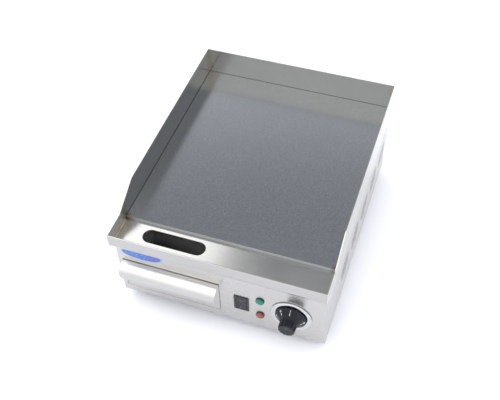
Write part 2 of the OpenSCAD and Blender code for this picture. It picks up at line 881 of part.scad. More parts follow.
module green_lamp_body() {
    lamp_body(green_z);
}

module green_lamp_lens() {
    lamp_lens(green_z, [0.02, 0.45, 0.32]);
}

module amber_lamp_body() {
    lamp_body(amber_z);
}

module amber_lamp_lens() {
    lamp_lens(amber_z, [0.85, 0.25, 0.12]);
}

module lamp_nuts() {
    color(INNER) from_lip() for (z = [green_z, amber_z]) difference() {
        hex_y(lamp_x, z, front_in, front_in + 3, barrel_d + 5);
        rod_y(lamp_x, z, front_in - 1, front_in + 4, barrel_d + thread_gap);
    }
}

// Electrical ---------------------------------------------------------------

module terminal_block() {
    half = [30, 12];
    web = 4;
    color([0.9, 0.88, 0.82]) from_lip() difference() {
        span([block_x - half[0], block_y - half[1], base_top],
             [block_x + half[0], block_y + half[1], block_top]);
        for (s = [-1, 1])
            rod_z(block_x + s * block_screw, block_y, base_top - 1, block_top + 1, m4 + 2 * screw_fit);
        for (i = [-1:1]) for (y = [block_y - half[1] - 1, block_y + web])
            rod_y(block_x + i * pole_pitch, pole_z, y, y + half[1] + 1 - web, 5);
    }
}

module terminal_screws() {
    nut = 3.2;
    color(STEEL) from_lip() for (s = [-1, 1]) translate([block_x + s * block_screw, block_y, 0]) {
        rod_z(0, 0, base_low - nut - 0.8, block_top, m4);
        rod_z(0, 0, block_top, block_top + 2, m4_head);
        nut_z(0, 0, base_low - nut, nut, m4_head, m4 - thread_gap);
    }
}

module cable_gland() {
    body_end = rear_y + 6;
    cap_start = body_end + 2;
    cap_end = cap_start + 9;
    flats = gland_d + 4;
    color(GLAND) from_lip() difference() {
        union() {
            rod_y(gland_x, gland_z, rear_in - 8, rear_y, gland_d);
            hex_y(gland_x, gland_z, rear_y, body_end, flats);
            rod_y(gland_x, gland_z, body_end, cap_start, gland_d);
            hex_y(gland_x, gland_z, cap_start, cap_end, flats);
            translate([gland_x, cap_end, gland_z]) rotate([-90, 0, 0])
                cylinder(d1 = flats - 1, d2 = gland_bore + 6, h = rear_y + gland_out - cap_end);
        }
        rod_y(gland_x, gland_z, rear_in - 9, rear_y + gland_out + 1, gland_bore);
    }
}

// Hexagon ring nut along y, across flats af, on a thread of diameter d
module nut_y(x, z, y0, h, af, d) {
    difference() {
        hex_y(x, z, y0, y0 + h, af);
        rod_y(x, z, y0 - 1, y0 + h + 1, d + thread_gap);
    }
}

module gland_locknut() {
    color(GLAND) from_lip() nut_y(gland_x, gland_z, rear_in - 5, 5, gland_d + 6, gland_d);
}

// M8 shank through the rear panel, hexagon collar outside it, M6 pin for the bonding lead
module equipotential_stud() {
    color(BRASS) from_lip() {
        rod_y(earth_x, earth_z, rear_in - nut_h - 2, rear_y, m8);
        hex_y(earth_x, earth_z, rear_y, rear_y + earth_collar, 13);
        rod_y(earth_x, earth_z, rear_y + earth_collar, rear_y + earth_collar + earth_pin_l, m6);
    }
}

module equipotential_nut() {
    color(BRASS) from_lip() nut_y(earth_x, earth_z, rear_in - nut_h, nut_h, 13, m8);
}

module limit_thermostat() {
    color(BLACK) from_lip() difference() {
        union() {
            span([limit_x - limit_box[0] / 2, rear_in - limit_box[1], limit_z - limit_box[2] / 2],
                 [limit_x + limit_box[0] / 2, rear_in, limit_z + limit_box[2] / 2]);
            rod_y(limit_x, limit_z, rear_in, rear_y + 6, limit_neck_d);
        }
        rod_y(limit_x, limit_z, rear_in - reset_seat, rear_y + 7, reset_d + 2 * run_fit);
    }
}

module limit_thermostat_nut() {
    color(STEEL) from_lip() nut_y(limit_x, limit_z, rear_y, 4, limit_neck_d + 4, limit_neck_d);
}

module reset_button() {
    inner_end = rear_in - reset_seat + reset_travel + slide_gap;
    color([0.7, 0.1, 0.08]) from_lip() rod_y(limit_x, limit_z, inner_end, rear_y + reset_out, reset_d);
}

module supply_leads() {
    tab = switch_z + switch_tab_z[0] + tab_t / 2;
    color([0.35, 0.2, 0.12]) from_lip() for (i = [0, 1]) {
        pole = block_x + (2 * i - 1) * pole_pitch;
        run_x = 60 - i * 12;
        run_z = 34 + i * 5;
        end_x = switch_x + (1 - 2 * i) * switch_tab_x;
        wire([
            [pole, block_y - 8, pole_z], [pole, 380, run_z], [run_x, 340, run_z], [run_x, 110, run_z],
            [end_x, 80, tab], [end_x, switch_back + tab_l, tab]
        ], lead_d + 0.2, 8);
    }
}

module heater_leads() {
    pin_y = terminal_y + drop_r;
    pin_end = terminal_z - pin_l;
    pin_x = element_x - 1.5 * element_pitch;
    switch_tab = [switch_x + switch_tab_x, switch_back + tab_l, switch_z + switch_tab_z[1] + tab_t / 2];
    thermo_tab = thermo_back + tab_l;
    thermo_z = knob_z + tab_z + tab_t / 2;
    color([0.75, 0.72, 0.66]) from_lip() {
        wire([
            switch_tab, [switch_tab[0], 66, switch_tab[2]], [knob_x - tab_x, 76, thermo_z],
            [knob_x - tab_x, thermo_tab, thermo_z]
        ], lead_d, 5);
        wire([
            [knob_x + tab_x, thermo_tab, thermo_z], [knob_x + tab_x, 75, thermo_z], [half_w - 30, 110, 80],
            [half_w - 30, 400, 80], [pin_x + 3 * element_pitch, pin_y, 110],
            [pin_x + 3 * element_pitch, pin_y, pin_end]
        ], lead_d, 8);
        wire([
            [pin_x, pin_y, pin_end], [pin_x, pin_y, 118], [-pin_x, pin_y, 118], [-pin_x, pin_y, pin_end]
        ], lead_d, 8);
    }
}

// Drawer -------------------------------------------------------------------

module bay_divider() {
    back = tray_back + 14;
    foot = base_top + body_t;
    color(INNER) from_lip() {
        span([divider_x, front_in, foot], [divider_x + body_t, back, divider_top]);
        span([divider_x, front_in + corner_gap, base_top], [divider_x + 12, back, foot]);
    }
}

// Angle rail: the leg under the tray is x0 to x1, the wall stands at x_wall
module runner(x0, x1, x_wall) {
    top = tray_low - slide_gap;
    back = tray_back + 6;
    wall_h = 16;
    color(INNER) from_lip() {
        span([x0, front_in, top - runner_t], [x1, back, top]);
        span([x_wall, front_in, top - runner_t], [x_wall + runner_t, back, top + wall_h]);
    }
}

module drawer_runner_left() {
    runner(-side_in, tray_left + runner_lap, -side_in);
}

module drawer_runner_right() {
    runner(tray_right - runner_lap, divider_x, divider_x - runner_t);
}

module drawer_tray() {
    color(STEEL) from_lip() difference() {
        span([tray_left, front_in, tray_low], [tray_right, tray_back, tray_top]);
        span([tray_left + tray_t, front_in + tray_t, tray_low + tray_t],
             [tray_right - tray_t, tray_back - tray_t, tray_top + 1]);
        for (x = rivet_x) for (z = rivet_z)
            rod_y(x, z, front_in - 1, front_in + tray_t + 1, rivet_d + thread_gap);
    }
}

// One sheet: the front, bent forward at its top into the rolled handle
module drawer_front() {
    t = body_t;
    edge_y = panel_set - handle_out;
    bend = [edge_y + handle_bend, drawer_top - handle_bend];
    edge_z = drawer_top - handle_drop;
    color(STEEL) from_lip() difference() {
        intersection() {
            along_x(drawer_left, drawer_right) polygon(concat(
                [[front_in, drawer_low], [front_in, drawer_top]],
                arc(bend, handle_bend, 90, 180, 12),
                [[edge_y, edge_z], [edge_y + t, edge_z]],
                arc(bend, handle_bend - t, 180, 90, 12),
                [[panel_set, drawer_top - t], [panel_set, drawer_low]]
            ));
            union() {
                span([drawer_left, panel_set - 1, drawer_low], [drawer_right, front_in, drawer_top]);
                along_y(edge_y - 1, panel_set) {
                    translate([drawer_left, edge_z + handle_corner])
                        square([drawer_right - drawer_left, handle_drop - handle_corner]);
                    translate([drawer_left + handle_corner, edge_z])
                        square([drawer_right - drawer_left - 2 * handle_corner, handle_drop]);
                    for (x = [drawer_left + handle_corner, drawer_right - handle_corner])
                        translate([x, edge_z + handle_corner]) circle(r = handle_corner);
                }
            }
        }
        for (x = rivet_x) for (z = rivet_z) rod_y(x, z, panel_set - 1, front_in + 1, rivet_d + thread_gap);
    }
}

module tray_rivets() {
    seat = front_in + tray_t;
    color(STEEL) from_lip() for (x = rivet_x) for (z = rivet_z) {
        rod_y(x, z, panel_set, seat, rivet_d);
        rod_y(x, z, seat, seat + 1.2, rivet_d + 3);
    }
}

module badge_plate() {
    n = 48;
    color([0.3, 0.5, 0.85]) from_lip() along_y(panel_set - badge_t, panel_set) translate([badge_x, badge_z])
        polygon([for (i = [0:n - 1]) [badge_w / 2 * cos(360 * i / n), badge_h / 2 * sin(360 * i / n)]]);
}

griddle_plate();
splash_guard();
grease_trough();
drain_chute();
left_side_panel();
right_side_panel();
rear_panel();
front_panel();
base_plate();
foot_front_left();
foot_front_right();
foot_rear_left();
foot_rear_right();
foot_bolts();
foot_nuts();
base_screws();
pan_bolts();
pan_nuts();
heating_element_left();
heating_element_right();
clamp_bars();
plate_studs();
clamp_nuts();
insulation_blanket();
heat_shield();
shield_nuts();
thermostat_bulb();
limiter_bulb();
bulb_clips();
thermostat_body();
thermostat_screws();
thermostat_shaft();
control_knob();
dial_bezel();
switch_housing();
switch_rocker();
green_lamp_body();
green_lamp_lens();
amber_lamp_body();
amber_lamp_lens();
lamp_nuts();
terminal_block();
terminal_screws();
cable_gland();
gland_locknut();
equipotential_stud();
equipotential_nut();
limit_thermostat();
limit_thermostat_nut();
reset_button();
bay_divider();
drawer_runner_left();
drawer_runner_right();
drawer_tray();
drawer_front();
tray_rivets();
badge_plate();
supply_leads();
heater_leads();
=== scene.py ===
import json
from math import cos, pi, radians, sin, sqrt, tan

import bmesh
import bpy
from mathutils import Matrix, Vector


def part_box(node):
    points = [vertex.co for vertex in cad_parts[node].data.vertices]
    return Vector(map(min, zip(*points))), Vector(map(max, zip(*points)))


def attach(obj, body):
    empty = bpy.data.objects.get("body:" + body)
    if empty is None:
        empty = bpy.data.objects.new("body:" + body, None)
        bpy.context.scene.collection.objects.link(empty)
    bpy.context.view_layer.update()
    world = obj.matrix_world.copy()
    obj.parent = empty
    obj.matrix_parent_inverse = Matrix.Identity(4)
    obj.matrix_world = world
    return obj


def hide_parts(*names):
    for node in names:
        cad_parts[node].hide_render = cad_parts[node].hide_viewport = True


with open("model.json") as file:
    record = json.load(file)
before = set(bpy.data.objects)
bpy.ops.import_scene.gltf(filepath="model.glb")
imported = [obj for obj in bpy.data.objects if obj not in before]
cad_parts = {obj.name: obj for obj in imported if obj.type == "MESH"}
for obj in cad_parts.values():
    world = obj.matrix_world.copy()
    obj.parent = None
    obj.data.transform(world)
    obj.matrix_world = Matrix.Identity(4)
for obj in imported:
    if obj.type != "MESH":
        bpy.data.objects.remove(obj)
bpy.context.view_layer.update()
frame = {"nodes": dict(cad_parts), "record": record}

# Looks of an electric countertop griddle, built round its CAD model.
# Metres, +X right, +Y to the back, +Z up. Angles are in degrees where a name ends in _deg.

MM = 0.001
scene = bpy.context.scene

# Places taken from the CAD model ----------------------------------------------

plate_low, plate_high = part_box("griddle_plate")
guard_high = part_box("splash_guard")[1]
trough_low, trough_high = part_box("grease_trough")
front_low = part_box("front_panel")[0]
bezel_low, bezel_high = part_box("dial_bezel")
knob_low, knob_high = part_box("control_knob")
badge_low, badge_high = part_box("badge_plate")
rocker_low, rocker_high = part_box("switch_rocker")
housing_low, housing_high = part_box("switch_housing")

SHEET = guard_high.x - plate_high.x        # thickness of the guard's sheet
FLOOR_Z = trough_low.z + SHEET             # top of the trough floor
PANEL_Y = front_low.y                      # outer face of the front panel
KNOB_X = (bezel_low.x + bezel_high.x) / 2
KNOB_Z = (bezel_low.z + bezel_high.z) / 2
HOUSING_LIP = 2 * MM                       # how far the switch housing stands out of the panel
ROCKER_SWING_DEG = 16                      # angle between the rocker's two faces


# Node trees ---------------------------------------------------------------------

class Nodes:
    """Short names for the nodes of a tree. place is the vector that its patterns are drawn in."""

    def __init__(self, tree, coordinates):
        self.tree = tree
        tree.nodes.clear()
        self.source = tree.nodes.new("ShaderNodeTexCoord")
        self.place = self.source.outputs[coordinates]

    def feed(self, node, key, value):
        if isinstance(value, bpy.types.NodeSocket):
            self.tree.links.new(value, node.inputs[key])
        else:
            node.inputs[key].default_value = value

    def stretched(self, scale):
        node = self.tree.nodes.new("ShaderNodeMapping")
        self.feed(node, "Vector", self.place)
        self.feed(node, "Scale", scale)
        return node.outputs["Vector"]

    def noise(self, scale, detail=3.0, stretch=(1, 1, 1), roughness=0.55):
        node = self.tree.nodes.new("ShaderNodeTexNoise")
        self.feed(node, "Vector", self.stretched(stretch))
        self.feed(node, "Scale", scale)
        self.feed(node, "Detail", detail)
        self.feed(node, "Roughness", roughness)
        return node.outputs["Fac"]

    def math(self, operation, a, b=0.0, clamp=False):
        node = self.tree.nodes.new("ShaderNodeMath")
        node.operation = operation
        node.use_clamp = clamp
        self.feed(node, 0, a)
        self.feed(node, 1, b)
        return node.outputs[0]

    def spread(self, value, low, high, out_low, out_high):
        """Maps low..high to out_low..out_high with a smooth step, and clamps outside it."""
        node = self.tree.nodes.new("ShaderNodeMapRange")
        node.interpolation_type = "SMOOTHSTEP"
        for key, v in (("Value", value), ("From Min", low), ("From Max", high),
                       ("To Min", out_low), ("To Max", out_high)):
            self.feed(node, key, v)
        return node.outputs["Result"]

    def ramp(self, value, stops):
        node = self.tree.nodes.new("ShaderNodeValToRGB")
        self.feed(node, "Fac", value)
        elements = node.color_ramp.elements
        while len(elements) < len(stops):
            elements.new(0.5)
        for element, (at, colour) in zip(elements, stops):
            element.position = at
            element.color = (*colour, 1)
        return node.outputs["Color"]

    def mix(self, factor, a, b, blend="MIX"):
        node = self.tree.nodes.new("ShaderNodeMix")
        node.data_type = "RGBA"
        node.blend_type = blend
        self.feed(node, "Factor", factor)
        for key, value in (("A", a), ("B", b)):
            socket = next(s for s in node.inputs if s.name == key and s.type == "RGBA")
            if isinstance(value, bpy.types.NodeSocket):
                self.tree.links.new(value, socket)
            else:
                socket.default_value = (*value, 1)
        return next(s for s in node.outputs if s.type == "RGBA")

    def axis(self, letter, vector=None):
        node = self.tree.nodes.new("ShaderNodeSeparateXYZ")
        self.feed(node, "Vector", vector or self.place)
        return node.outputs[letter]

    def near_line(self, across, reach):
        """1 on a line parallel to an axis, 0 at reach from it. across gives its other two coordinates."""
        squares = [
            self.math("POWER", self.math("SUBTRACT", self.axis(letter), at), 2.0)
            for letter, at in across.items()
        ]
        distance = self.math("SQRT", self.math("ADD", *squares))
        return self.spread(distance, 0.0, reach, 1.0, 0.0)

    def most(self, values):
        result = values[0]
        for value in values[1:]:
            result = self.math("MAXIMUM", result, value)
        return result


class Finish(Nodes):
    """A material with one Principled shader."""

    def __init__(self, name, **constants):
        self.material = bpy.data.materials.new(name)
        self.material.use_nodes = True
        super().__init__(self.material.node_tree, "Object")
        output = self.tree.nodes.new("ShaderNodeOutputMaterial")
        self.shader = self.tree.nodes.new("ShaderNodeBsdfPrincipled")
        self.tree.links.new(self.shader.outputs["BSDF"], output.inputs["Surface"])
        for key, value in constants.items():
            self.set(key.replace("_", " "), value)

    def set(self, key, value):
        socket = self.shader.inputs[key]
        if isinstance(value, bpy.types.NodeSocket):
            self.tree.links.new(value, socket)
        else:
            socket.default_value = (*value, 1) if isinstance(value, tuple) and len(value) == 3 else value

    def bump(self, height, distance, strength=1.0):
        node = self.tree.nodes.new("ShaderNodeBump")
        self.feed(node, "Height", height)
        self.feed(node, "Distance", distance)
        self.feed(node, "Strength", strength)
        self.set("Normal", node.outputs["Normal"])

    def facing(self, letter):
        """How squarely the surface faces along an axis, from 0 to 1."""
        return self.math("ABSOLUTE", self.axis(letter, self.source.outputs["Normal"]))

    def brushed(self, across):
        """Spreads reflections across the brushing, which runs level round upright walls."""
        node = self.tree.nodes.new("ShaderNodeCombineXYZ")
        self.feed(node, across, self.facing("Z"))
        self.feed(node, "Z", 1.0)
        self.set("Tangent", node.outputs["Vector"])


# Weld seams: each is the two coordinates of a line along the third axis
WALL = plate_high.x
WELDS = [
    {"X": -WALL, "Z": FLOOR_Z},
    {"X": WALL, "Z": FLOOR_Z},
    {"X": -WALL, "Y": plate_low.y},
    {"X": WALL, "Y": plate_low.y},
    {"X": -WALL, "Y": plate_high.y},
    {"X": WALL, "Y": plate_high.y},
]
STRAW = (0.52, 0.45, 0.28)
BROWN = (0.16, 0.13, 0.08)
# Dark seam colour: partly grime, partly painted shade between the plate and the guard.
SEAM_GRIME_AND_SHADE = (0.05, 0.048, 0.042)


def steel(name, colour, rough, grain, welds=(), reach=0.012, smudge=0.05, spread=0.0, painted_top_highlight=None):
    """Brushed sheet. grain is the axis that the brushing runs along on a level face.

    The last argument, when given, is a brighter colour painted on level faces: a painted highlight."""
    f = Finish(name, Metallic=1.0, Anisotropic=spread)
    along = {"X": (0.03, 1, 1), "Y": (1, 0.03, 1), "Z": (1, 1, 0.03)}[grain]
    streak = f.noise(1400.0, 2.0, along)
    if spread:
        f.brushed("Y" if grain == "X" else "X")
        side = f.spread(f.facing("X"), 0.4, 0.6, 0.0, 1.0)
        level = f.noise(1400.0, 2.0, (1, 0.03, 1))
        streak = f.math("ADD", f.math("MULTIPLY", streak, f.math("SUBTRACT", 1.0, side)),
                        f.math("MULTIPLY", level, side))
    cloud = f.noise(9.0, 4.0)
    tone = f.ramp(cloud, [(0.3, tuple(c * (1 - smudge) for c in colour)), (0.7, colour)])
    tone = f.mix(f.spread(streak, 0.3, 0.7, 0.0, 0.10), tone, tuple(c * 0.72 for c in colour))
    # Painted highlight: level faces are given a brighter colour.
    if painted_top_highlight:
        tone = f.mix(f.spread(f.facing("Z"), 0.3, 0.9, 0.0, 1.0), tone, painted_top_highlight)
    if welds:
        before_back = f.spread(f.axis("Y"), plate_high.y + 0.2 * MM, plate_high.y + SHEET, 1.0, 0.0)
        between = f.spread(f.math("ABSOLUTE", f.axis("X")), WALL + 0.2 * MM, WALL + SHEET, 1.0, 0.0)
        inside = f.math("MULTIPLY", between, before_back)
        broken = f.math("MULTIPLY", f.math("ADD", f.noise(160.0, 4.0), 0.25), inside)
        heat = f.math("MULTIPLY", f.most([f.near_line(w, reach) for w in welds]), broken, clamp=True)
        tone = f.mix(f.spread(heat, 0.15, 0.75, 0.0, 0.55), tone, STRAW)
        tone = f.mix(f.spread(heat, 0.70, 0.95, 0.0, 0.6), tone, BROWN)
    f.set("Base Color", tone)
    worn = f.math("MULTIPLY", f.math("SUBTRACT", streak, 0.5), 0.10)
    mist = f.spread(f.noise(14.0, 3.0), 0.35, 0.7, rough - 0.01, rough + 0.02)
    f.set("Roughness", f.math("ADD", mist, worn, clamp=True))
    f.bump(streak, 0.00001, 0.25)
    return f.material


def ground_plate():
    """Ground and slightly mottled cooking surface, stained at its front corners."""
    f = Finish("ground_plate", Metallic=1.0)
    speck = f.noise(480.0, 3.0, (1, 0.7, 1))
    cross = f.noise(640.0, 3.0, (0.5, 1, 1))
    cloud = f.noise(26.0, 5.0)
    grain = f.math("MULTIPLY", f.math("ADD", speck, cross), 0.5)
    tone = f.ramp(grain, [(0.34, (0.35, 0.364, 0.382)), (0.66, (0.455, 0.469, 0.487))])
    tone = f.mix(f.spread(cloud, 0.3, 0.7, 0.0, 0.35), tone, (0.38, 0.397, 0.424))
    # Seam grime and painted shade: the plate darkens within about a millimetre of its side and back edges,
    # where it meets the guard.
    edge = f.most([
        f.spread(f.math("ABSOLUTE", f.axis("X")), WALL - 1.6 * MM, WALL - 0.4 * MM, 0.0, 0.75),
        f.spread(f.axis("Y"), plate_high.y - 1.6 * MM, plate_high.y - 0.4 * MM, 0.0, 0.75),
    ])
    tone = f.mix(edge, tone, SEAM_GRIME_AND_SHADE)
    corners = f.most([
        f.near_line({"X": side * WALL, "Y": plate_low.y}, 0.016) for side in (-1, 1)
    ])
    stain = f.math("MULTIPLY", corners, f.math("ADD", f.noise(120.0, 3.0), 0.2), clamp=True)
    tone = f.mix(stain, tone, BROWN)
    f.set("Base Color", tone)
    f.set("Roughness", f.spread(grain, 0.35, 0.65, 0.17, 0.22))
    f.bump(grain, 0.000004, 0.3)
    return f.material


def moulded(name, colour, rough, pebble=900.0, depth=0.00003, **constants):
    """Moulded plastic or rubber with a fine pebble and faint handling marks."""
    f = Finish(name, **constants)
    fine = f.noise(pebble, 2.0)
    cloud = f.noise(40.0, 3.0)
    light = tuple(min(1.0, c * 1.35 + 0.006) for c in colour)
    f.set("Base Color", f.mix(f.spread(cloud, 0.3, 0.75, 0.0, 0.6), colour, light))
    f.set("Roughness", f.spread(cloud, 0.3, 0.7, rough - 0.05, rough + 0.07))
    f.bump(fine, depth, 0.6)
    return f.material


def lens(name, deep, glow):
    """Tinted lens, paler where light gathers in its ribs."""
    f = Finish(name, IOR=1.49, Transmission_Weight=0.2, Coat_Weight=0.2, Coat_Roughness=0.05)
    cell = f.noise(420.0, 1.0)
    f.set("Base Color", f.ramp(cell, [(0.35, deep), (0.75, glow)]))
    f.set("Roughness", f.spread(cell, 0.3, 0.7, 0.12, 0.2))
    f.bump(cell, 0.00005, 0.5)
    return f.material


def felt(name, colour, scale):
    """Fibrous mat or woven sleeve."""
    f = Finish(name, Sheen_Weight=0.4)
    fibre = f.noise(scale, 5.0, (1, 0.25, 1))
    dark = tuple(c * 0.7 for c in colour)
    f.set("Base Color", f.ramp(fibre, [(0.3, dark), (0.65, colour)]))
    f.set("Roughness", f.spread(fibre, 0.2, 0.8, 0.85, 0.98))
    f.bump(fibre, 0.0004, 0.8)
    return f.material


def badge_print():
    """Plain blue oval, lighter at its left end, with a pale border."""
    f = Finish("badge_print", Coat_Weight=0.15, Coat_Roughness=0.08)
    middle = (badge_low + badge_high) / 2
    half = (badge_high - badge_low) / 2
    along = f.math("DIVIDE", f.math("SUBTRACT", f.axis("X"), middle.x), half.x)
    up = f.math("DIVIDE", f.math("SUBTRACT", f.axis("Z"), middle.z), half.z)
    edge = f.math("SQRT", f.math("ADD", f.math("POWER", along, 2.0), f.math("POWER", up, 2.0)))
    blue = f.ramp(f.spread(along, -1.0, 1.0, 0.0, 1.0),
                  [(0.0, (0.045, 0.16, 0.47)), (0.45, (0.038, 0.135, 0.49)), (1.0, (0.06, 0.085, 0.41))])
    speck = f.noise(600.0, 2.0)
    blue = f.mix(f.spread(speck, 0.4, 0.7, 0.0, 0.15), blue, (0.5, 0.6, 0.85))
    f.set("Base Color", f.mix(f.spread(edge, 0.90, 0.95, 0.0, 1.0), blue, (0.34, 0.44, 0.66)))
    f.set("Roughness", f.spread(speck, 0.3, 0.7, 0.22, 0.32))
    return f.material


BODY = (0.55, 0.543, 0.53)
GUARD = (0.60, 0.593, 0.565)
# The trough's tone is the guard's steel made darker: painted shade on the trough and its lip.
TROUGH_SHADED_TONE = (0.48, 0.476, 0.462)
# Brighter tone painted on the drawer's level faces, such as its handle's top, as a painted highlight.
TOP_HIGHLIGHT_TONE = (0.74, 0.735, 0.72)
FINISHES = {
    "plate": ground_plate(),
    "guard_steel": steel("guard_steel", GUARD, 0.19, "X", WELDS, 0.014, spread=0.4),
    "trough_shaded_steel": steel("trough_shaded_steel", TROUGH_SHADED_TONE, 0.19, "X", WELDS, 0.014, spread=0.4),
    "body_steel": steel("body_steel", BODY, 0.26, "X", spread=0.45),
    "drawer_steel": steel("drawer_steel", BODY, 0.34, "X", spread=0.5, painted_top_highlight=TOP_HIGHLIGHT_TONE),
    "tray_steel": steel("tray_steel", (0.62, 0.62, 0.61), 0.3, "Y", spread=0.45),
    "inner_steel": steel("inner_steel", (0.52, 0.53, 0.53), 0.36, "Y", smudge=0.2),
    "foot_rubber": moulded("foot_rubber", (0.018, 0.018, 0.018), 0.75, 700.0, 0.00008),
    "fastener": steel("fastener", (0.66, 0.66, 0.65), 0.25, "Z", smudge=0.12),
    "element_sheath": steel("element_sheath", (0.34, 0.32, 0.29), 0.45, "Y", smudge=0.4),
    "insulation": felt("insulation", (0.80, 0.77, 0.70), 300.0),
    "copper_tube": steel("copper_tube", (0.72, 0.42, 0.28), 0.28, "Y", smudge=0.3),
    "black_plastic": moulded("black_plastic", (0.014, 0.015, 0.018), 0.36),
    "rocker_plastic": moulded("rocker_plastic", (0.028, 0.029, 0.034), 0.24, Specular_IOR_Level=0.25),
    "knob_plastic": moulded("knob_plastic", (0.009, 0.010, 0.015), 0.28, 1200.0, 0.00002,
                            Specular_IOR_Level=0.22),
    "bezel_metal": steel("bezel_metal", (0.62, 0.62, 0.63), 0.24, "Z", smudge=0.03),
    "green_lens": lens("green_lens", (0.0, 0.14, 0.095), (0.0, 0.33, 0.235)),
    "amber_lens": lens("amber_lens", (0.20, 0.037, 0.017), (0.39, 0.11, 0.058)),
    "ceramic": moulded("ceramic", (0.80, 0.78, 0.72), 0.25, 300.0),
    "gland_plastic": moulded("gland_plastic", (0.035, 0.036, 0.04), 0.5),
    "brass_stud": steel("brass_stud", (0.74, 0.55, 0.24), 0.25, "Y", smudge=0.25),
    "red_plastic": moulded("red_plastic", (0.50, 0.03, 0.02), 0.3),
    "badge": badge_print(),
    "lead_brown": moulded("lead_brown", (0.16, 0.07, 0.03), 0.5),
    "lead_glass": felt("lead_glass", (0.62, 0.58, 0.50), 1400.0),
}
PRINT = moulded("dial_print", (0.82, 0.82, 0.80), 0.5, 600.0)
FADED_PRINT = moulded("faded_print", (0.13, 0.13, 0.14), 0.5, 600.0)
OWN_FINISH = {"grease_trough": "trough_shaded_steel", "drawer_front": "drawer_steel"}
SLOT_OF = {s["node"]: s["material_slot"] for s in frame["record"]["subparts"]}
BODY_OF = {n: b for b, ns in frame["record"]["behaviour"]["bodies"].items() for n in ns}


# Mesh pieces ----------------------------------------------------------------------

def piece_from(bm, name, body, slot, nodes=(), material=None, crease_deg=40, weighted=False):
    """Turns a bmesh, drawn in the object's frame, into a piece that rides on a body."""
    bmesh.ops.recalc_face_normals(bm, faces=bm.faces)
    mesh = bpy.data.meshes.new(name)
    bm.to_mesh(mesh)
    bm.free()
    mesh.materials.append(material or FINISHES[slot])
    mesh.polygons.foreach_set("use_smooth", [True] * len(mesh.polygons))
    mesh.set_sharp_from_angle(angle=radians(crease_deg))
    piece = bpy.data.objects.new(name, mesh)
    scene.collection.objects.link(piece)
    if weighted:
        even = piece.modifiers.new("even_normals", "WEIGHTED_NORMAL")
        even.keep_sharp = True
    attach(piece, body)
    if nodes:
        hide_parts(*nodes)
    return piece


def soften(node, radius, steps=2, suffix="_sheet"):
    """A copy of a CAD node whose sharp edges are rounded off, as deburred sheet or moulded parts are."""
    bm = bmesh.new()
    bm.from_mesh(frame["nodes"][node].data)
    bmesh.ops.remove_doubles(bm, verts=bm.verts, dist=0.000002)
    bmesh.ops.dissolve_limit(bm, angle_limit=radians(0.6), verts=bm.verts, edges=bm.edges)
    sharp = [e for e in bm.edges if len(e.link_faces) == 2 and e.calc_face_angle() > radians(32)]
    bmesh.ops.bevel(bm, geom=sharp, offset=radius, segments=steps, profile=0.5, affect="EDGES")
    slot = SLOT_OF[node]
    material = FINISHES[OWN_FINISH.get(node, slot)]
    return piece_from(bm, node + suffix, BODY_OF[node], slot, [node], material, 60, True)


def ring_of(bm, centre, radius_at, count, y):
    """A ring about the Y axis through centre, whose radius may vary with the angle."""
    ring = []
    for i in range(count):
        angle = 2 * pi * i / count
        r = radius_at(angle)
        ring.append(bm.verts.new((centre[0] + r * sin(angle), y, centre[1] + r * cos(angle))))
    return ring


def bridge(bm, a, b):
    n = len(a)
    for i in range(n):
        bm.faces.new((a[i], a[(i + 1) % n], b[(i + 1) % n], b[i]))


def turned(name, body, slot, nodes, centre, stations, count=96, closed_loop=False, material=None):
    """Lathe about the Y axis. A station is (y, radius or function of the angle)."""
    bm = bmesh.new()
    rings = []
    for y, radius in stations:
        shape = radius if callable(radius) else (lambda angle, r=radius: r)
        rings.append(ring_of(bm, centre, shape, count, y))
    for a, b in zip(rings, rings[1:]):
        bridge(bm, a, b)
    if closed_loop:
        bridge(bm, rings[-1], rings[0])
    else:
        bm.faces.new(rings[0])
        bm.faces.new(rings[-1])
    return piece_from(bm, name, body, slot, nodes, material, crease_deg=38)


def bead(name, start, end, radius):
    """Weld bead with its ripples, along a straight corner."""
    sides = 8
    pitch = 1.6 * MM
    start, end = Vector(start), Vector(end)
    run = (end - start).normalized()
    side = run.orthogonal().normalized()
    up = run.cross(side)
    count = max(8, int((end - start).length / pitch) * 4)
    bm = bmesh.new()
    rings = []
    for i in range(count + 1):
        share = i / count
        wave = 0.86 + 0.14 * abs(sin(pi * i / 4)) + 0.06 * sin(i * 0.37)
        closing = min(1.0, sqrt(max(0.0, min(share, 1 - share)) * count / 6 + 0.04))
        r = radius * wave * closing
        at = start.lerp(end, share)
        rings.append([
            bm.verts.new(at + r * (side * cos(2 * pi * k / sides) + up * sin(2 * pi * k / sides)))
            for k in range(sides)
        ])
    for a, b in zip(rings, rings[1:]):
        bridge(bm, a, b)
    bm.faces.new(rings[0])
    bm.faces.new(rings[-1])
    return piece_from(bm, name, "casing", "guard_steel")


# Sheet metal and small CAD parts with rounded edges ---------------------------------

def finish_sheets():
    for node, radius in (
        ("splash_guard", 0.35), ("grease_trough", 0.3), ("drain_chute", 0.25),
        ("left_side_panel", 0.22), ("right_side_panel", 0.22), ("rear_panel", 0.22),
        ("front_panel", 0.25), ("base_plate", 0.2), ("drawer_front", 0.3), ("drawer_tray", 0.2),
        ("griddle_plate", 0.45), ("switch_housing", 0.35), ("green_lamp_body", 0.3),
        ("amber_lamp_body", 0.3), ("cable_gland", 0.4), ("limit_thermostat", 0.4),
        ("foot_front_left", 0.9), ("foot_front_right", 0.9),
        ("foot_rear_left", 0.9), ("foot_rear_right", 0.9),
    ):
        soften(node, radius * MM)


def weld_corners():
    back = plate_high.y
    lip = trough_low.y + SHEET
    for side, word in ((-1, "left"), (1, "right")):
        x = side * WALL
        bead(f"trough_weld_{word}", (x, lip + 4 * MM, FLOOR_Z), (x, plate_low.y - MM, FLOOR_Z), 1.0 * MM)
        bead(f"corner_weld_{word}", (x, back, plate_high.z), (x, back, guard_high.z - 1.2 * MM), 0.9 * MM)
        bead(f"lip_weld_{word}", (x, lip, FLOOR_Z + 8 * MM), (x, lip, trough_high.z - 3.5 * MM), 0.8 * MM)


# Thermostat dial -----------------------------------------------------------------------

